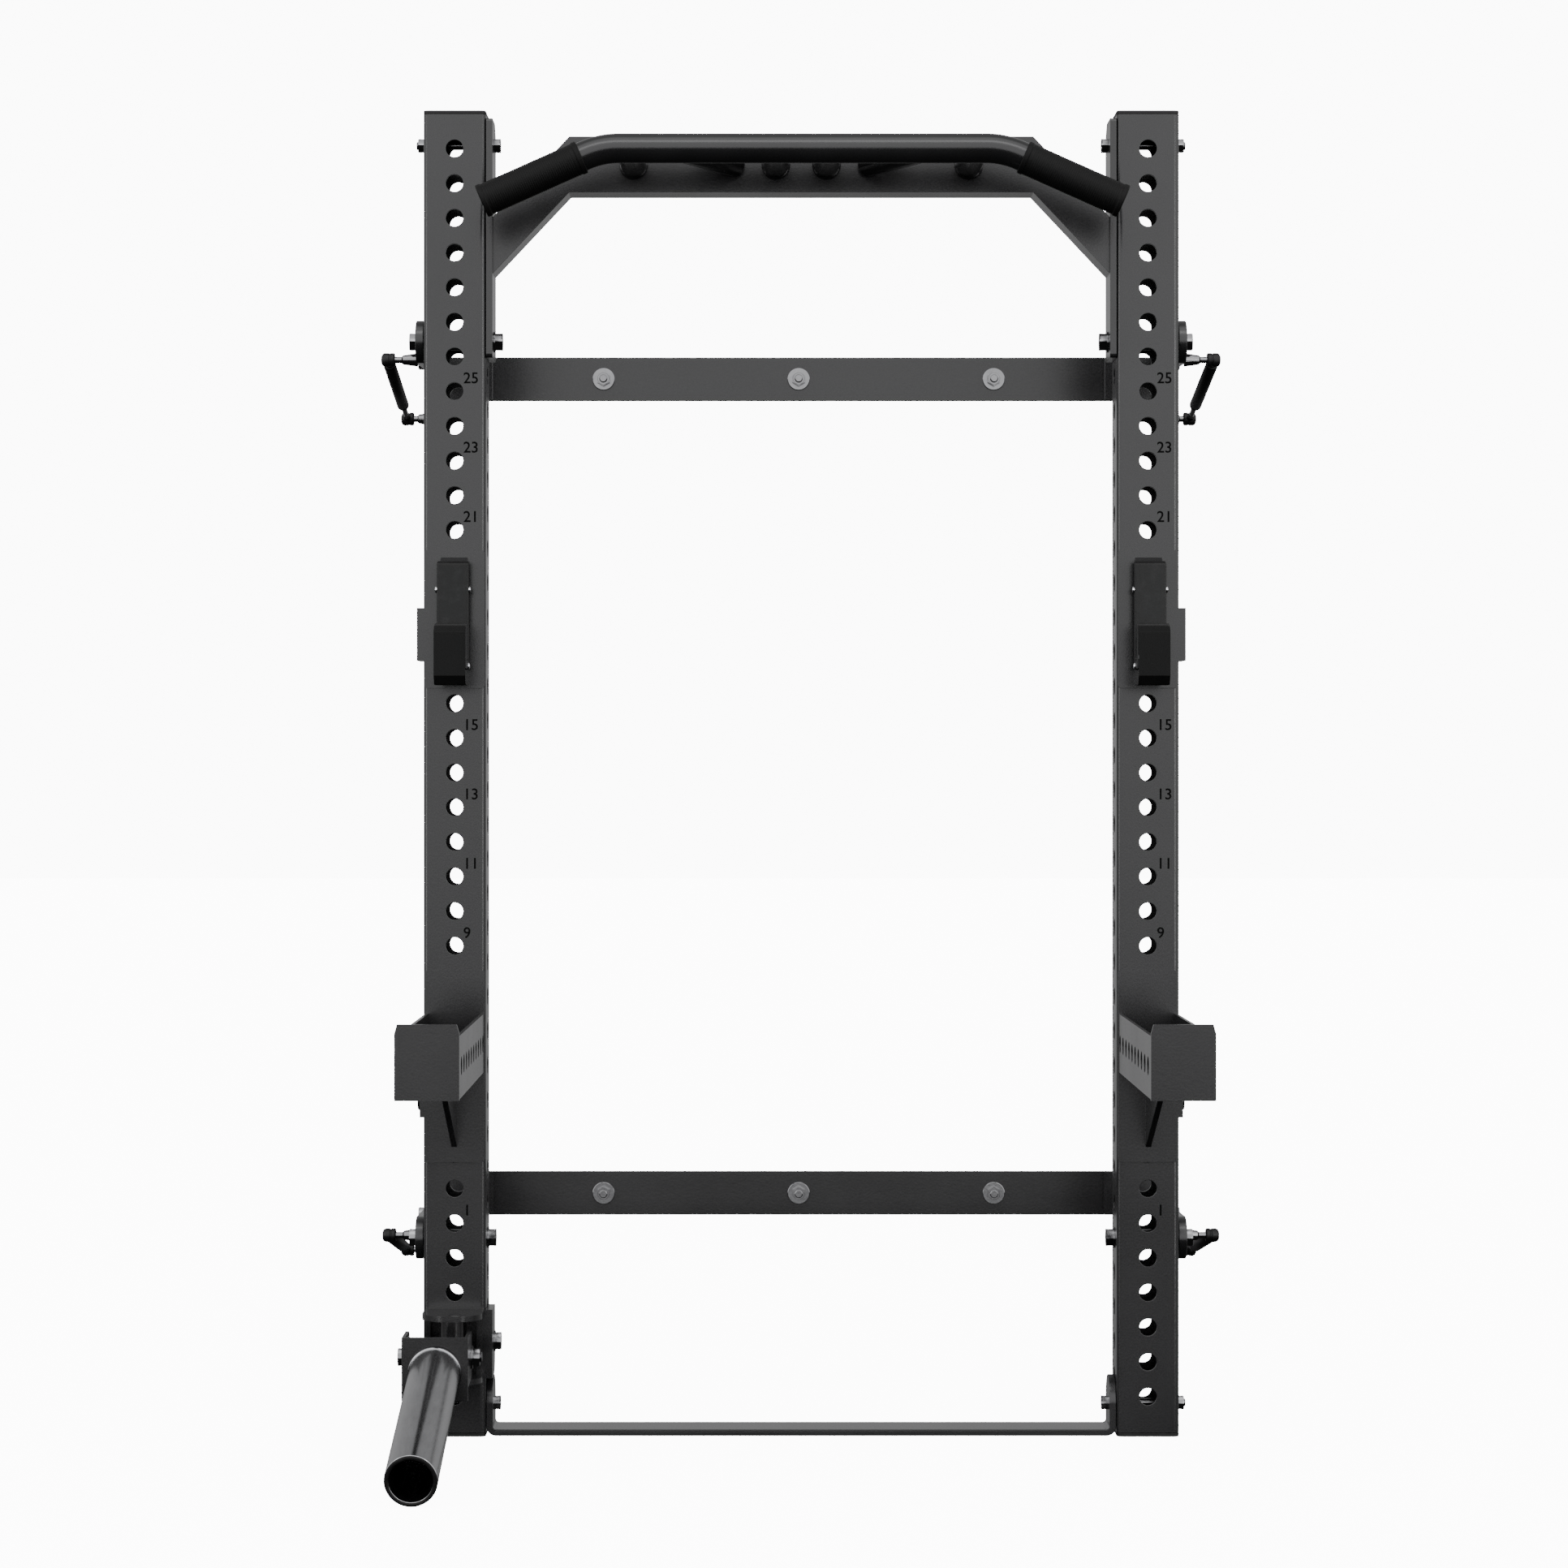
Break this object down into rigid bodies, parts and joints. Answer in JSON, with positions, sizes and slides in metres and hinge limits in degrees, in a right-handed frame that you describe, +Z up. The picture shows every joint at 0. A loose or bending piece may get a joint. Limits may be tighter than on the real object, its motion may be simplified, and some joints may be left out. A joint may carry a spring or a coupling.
{
  "type": "wall mounted folding rack",
  "caption": "Wall-mounted strength rack that folds up on gas-assisted parallel arms, with multi-grip pull-up bar, bar hooks, spotter arms and a landmine socket.",
  "frame": {"origin": "on the wall plane at the back of the upper beam, in the middle plane, level with the upper pivots", "axes": "+X to the right seen from the front, +Y into the wall, +Z up"},
  "size_m": [1.221, 1.0407, 1.9126],
  "materials": {
    "black_powder_coat": "satin black powder coat",
    "strut_paint": "semi-gloss black paint",
    "zinc_hardware": "bright zinc plate",
    "black_plastic": "matte moulded plastic",
    "grip_rubber": "matte rubber",
    "bare_steel": "brushed tube, clear coated"
  },
  "bodies": {
    "wall_mount": {"lower_left_wall_bolt": "zinc_hardware", "lower_left_wall_bracket": "black_powder_coat", "lower_left_wall_pivot_bolt": "zinc_hardware", "lower_middle_wall_bolt": "zinc_hardware", "lower_right_wall_bolt": "zinc_hardware", "lower_right_wall_bracket": "black_powder_coat", "lower_right_wall_pivot_bolt": "zinc_hardware", "lower_wall_beam": "black_powder_coat", "upper_left_wall_bolt": "zinc_hardware", "upper_left_wall_bracket": "black_powder_coat", "upper_left_wall_pivot_bolt": "zinc_hardware", "upper_middle_wall_bolt": "zinc_hardware", "upper_right_wall_bolt": "zinc_hardware", "upper_right_wall_bracket": "black_powder_coat", "upper_right_wall_pivot_bolt": "zinc_hardware", "upper_wall_beam": "black_powder_coat"},
    "frame": {"floor_strap": "black_powder_coat", "landmine_bracket": "black_powder_coat", "left_bar_grip": "grip_rubber", "left_cross_member_bolt": "zinc_hardware", "left_foot_cap": "black_plastic", "left_spotter_arm": "black_powder_coat", "left_spotter_liner": "black_plastic", "left_strap_bolt": "zinc_hardware", "left_top_cap": "black_plastic", "left_upright": "black_powder_coat", "lower_left_front_pivot_bolt": "zinc_hardware", "lower_right_front_pivot_bolt": "zinc_hardware", "pull_up_bar": "black_powder_coat", "right_bar_grip": "grip_rubber", "right_cross_member_bolt": "zinc_hardware", "right_foot_cap": "black_plastic", "right_spotter_arm": "black_powder_coat", "right_spotter_liner": "black_plastic", "right_strap_bolt": "zinc_hardware", "right_top_cap": "black_plastic", "right_upright": "black_powder_coat", "top_cross_member": "black_powder_coat", "upper_left_front_pivot_bolt": "zinc_hardware", "upper_right_front_pivot_bolt": "zinc_hardware"},
    "upper_left_arm": {"upper_left_arm": "black_powder_coat"},
    "upper_left_cylinder": {"upper_left_strut_cylinder": "strut_paint"},
    "upper_left_rod": {"upper_left_strut_rod": "zinc_hardware"},
    "upper_right_arm": {"upper_right_arm": "black_powder_coat"},
    "upper_right_cylinder": {"upper_right_strut_cylinder": "strut_paint"},
    "upper_right_rod": {"upper_right_strut_rod": "zinc_hardware"},
    "lower_left_arm": {"lower_left_arm": "black_powder_coat"},
    "lower_left_cylinder": {"lower_left_strut_cylinder": "strut_paint"},
    "lower_left_rod": {"lower_left_strut_rod": "zinc_hardware"},
    "lower_right_arm": {"lower_right_arm": "black_powder_coat"},
    "lower_right_cylinder": {"lower_right_strut_cylinder": "strut_paint"},
    "lower_right_rod": {"lower_right_strut_rod": "zinc_hardware"},
    "left_hook": {"left_hook": "black_powder_coat", "left_hook_pad": "black_plastic"},
    "left_spotter_pin": {"left_spotter_pin": "zinc_hardware"},
    "right_hook": {"right_hook": "black_powder_coat", "right_hook_pad": "black_plastic"},
    "right_spotter_pin": {"right_spotter_pin": "zinc_hardware"},
    "landmine_swivel": {"landmine_swivel": "black_powder_coat"},
    "landmine_tube": {"landmine_tube": "bare_steel"}
  },
  "joints": [
    {"name": "upper_left_fold", "type": "hinge", "parent": "wall_mount", "child": "upper_left_arm", "pos_m": [-0.5522, -0.076, 0], "axis": [-1, 0, 0], "range_deg": [0, 80]},
    {"name": "upper_left_cylinder_tilt", "type": "hinge", "parent": "upper_left_arm", "child": "upper_left_cylinder", "pos_m": [-0.597, -0.374, -0.025], "axis": [-1, 0, 0], "range_deg": [-21, 0]},
    {"name": "upper_left_rod_tilt", "type": "hinge", "parent": "wall_mount", "child": "upper_left_rod", "pos_m": [-0.597, -0.019, -0.083], "axis": [-1, 0, 0], "range_deg": [0, 65]},
    {"name": "upper_right_fold", "type": "hinge", "parent": "wall_mount", "child": "upper_right_arm", "pos_m": [0.5522, -0.076, 0], "axis": [-1, 0, 0], "range_deg": [0, 80]},
    {"name": "upper_right_cylinder_tilt", "type": "hinge", "parent": "upper_right_arm", "child": "upper_right_cylinder", "pos_m": [0.597, -0.374, -0.025], "axis": [-1, 0, 0], "range_deg": [-21, 0]},
    {"name": "upper_right_rod_tilt", "type": "hinge", "parent": "wall_mount", "child": "upper_right_rod", "pos_m": [0.597, -0.019, -0.083], "axis": [-1, 0, 0], "range_deg": [0, 65]},
    {"name": "lower_left_fold", "type": "hinge", "parent": "wall_mount", "child": "lower_left_arm", "pos_m": [-0.5522, -0.076, -1.3], "axis": [-1, 0, 0], "range_deg": [0, 80]},
    {"name": "lower_left_cylinder_tilt", "type": "hinge", "parent": "lower_left_arm", "child": "lower_left_cylinder", "pos_m": [-0.597, -0.354, -1.3], "axis": [-1, 0, 0], "range_deg": [-19, 0]},
    {"name": "lower_left_rod_tilt", "type": "hinge", "parent": "wall_mount", "child": "lower_left_rod", "pos_m": [-0.597, -0.019, -1.358], "axis": [-1, 0, 0], "range_deg": [0, 67]},
    {"name": "lower_right_fold", "type": "hinge", "parent": "wall_mount", "child": "lower_right_arm", "pos_m": [0.5522, -0.076, -1.3], "axis": [-1, 0, 0], "range_deg": [0, 80]},
    {"name": "lower_right_cylinder_tilt", "type": "hinge", "parent": "lower_right_arm", "child": "lower_right_cylinder", "pos_m": [0.597, -0.354, -1.3], "axis": [-1, 0, 0], "range_deg": [-19, 0]},
    {"name": "lower_right_rod_tilt", "type": "hinge", "parent": "wall_mount", "child": "lower_right_rod", "pos_m": [0.597, -0.019, -1.358], "axis": [-1, 0, 0], "range_deg": [0, 67]},
    {"name": "frame_level", "type": "hinge", "parent": "upper_left_arm", "child": "frame", "pos_m": [-0.5522, -0.384, 0], "axis": [-1, 0, 0], "range_deg": [-80, 0]},
    {"name": "left_hook_swing", "type": "hinge", "parent": "frame", "child": "left_hook", "pos_m": [-0.5, -0.429, -0.325], "axis": [0, 1, 0], "range_deg": [0, 90]},
    {"name": "left_pin_pull", "type": "slide", "parent": "frame", "child": "left_spotter_pin", "axis": [-1, 0, 0], "range_m": [0, 0.025]},
    {"name": "right_hook_swing", "type": "hinge", "parent": "frame", "child": "right_hook", "pos_m": [0.5, -0.429, -0.325], "axis": [0, -1, 0], "range_deg": [0, 90]},
    {"name": "right_pin_pull", "type": "slide", "parent": "frame", "child": "right_spotter_pin", "axis": [1, 0, 0], "range_m": [0, 0.025]},
    {"name": "landmine_turn", "type": "hinge", "parent": "frame", "child": "landmine_swivel", "pos_m": [-0.5, -0.474, -1.452], "axis": [0, 0, 1], "range_deg": [-40, 40]},
    {"name": "landmine_lift", "type": "hinge", "parent": "landmine_swivel", "child": "landmine_tube", "pos_m": [-0.515, -0.544, -1.452], "axis": [-1, 0, 0], "range_deg": [0, 55]}
  ],
  "couplings": [
    {"joint": "upper_left_cylinder_tilt", "follows": "upper_left_fold", "ratio": -0.235},
    {"joint": "upper_left_rod_tilt", "follows": "upper_left_fold", "ratio": 0.765},
    {"joint": "upper_right_fold", "follows": "upper_left_fold", "ratio": 1},
    {"joint": "upper_right_cylinder_tilt", "follows": "upper_left_fold", "ratio": -0.235},
    {"joint": "upper_right_rod_tilt", "follows": "upper_left_fold", "ratio": 0.765},
    {"joint": "lower_left_fold", "follows": "upper_left_fold", "ratio": 1},
    {"joint": "lower_left_cylinder_tilt", "follows": "upper_left_fold", "ratio": -0.2171},
    {"joint": "lower_left_rod_tilt", "follows": "upper_left_fold", "ratio": 0.7829},
    {"joint": "lower_right_fold", "follows": "upper_left_fold", "ratio": 1},
    {"joint": "lower_right_cylinder_tilt", "follows": "upper_left_fold", "ratio": -0.2171},
    {"joint": "lower_right_rod_tilt", "follows": "upper_left_fold", "ratio": 0.7829},
    {"joint": "frame_level", "follows": "upper_left_fold", "ratio": -1}
  ]
}
